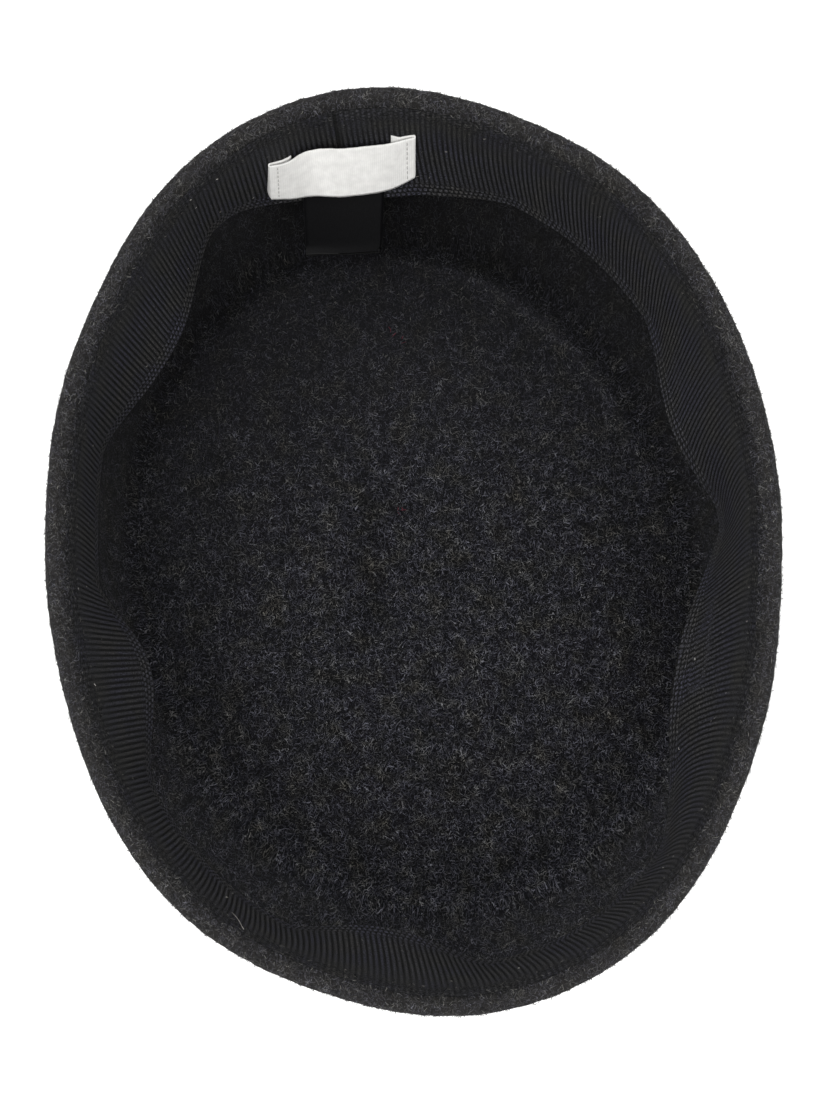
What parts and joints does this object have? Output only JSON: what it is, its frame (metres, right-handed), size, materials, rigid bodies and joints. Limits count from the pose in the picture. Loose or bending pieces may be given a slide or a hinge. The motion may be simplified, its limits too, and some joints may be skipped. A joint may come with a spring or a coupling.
{
  "type": "pillbox hat",
  "caption": "Oval felt pillbox hat lying crown down, with a ribbed ribbon sweatband and two bare labels sewn inside the rim.",
  "frame": {"origin": "centre of the flat crown tip, which rests on the floor at z = 0; the hat lies crown down with its opening up", "axes": "+Z out of the opening, +Y towards the back of the hat, where the labels are, +X to the right when the opening is seen from above with the back at the top"},
  "size_m": [0.1655, 0.2097, 0.07],
  "materials": {
    "wool_felt": "matt charcoal melange felt, fuzzy, with a raw rim",
    "grosgrain_ribbon": "ribbed black ribbon with a soft sheen along the ribs",
    "white_taffeta": "fine white taffeta weave, bare",
    "black_satin": "smooth black satin ribbon, bare"
  },
  "bodies": {
    "root": {"felt_crown": "wool_felt", "sweatband": "grosgrain_ribbon", "woven_label": "white_taffeta", "size_label": "black_satin"}
  },
  "joints": []
}
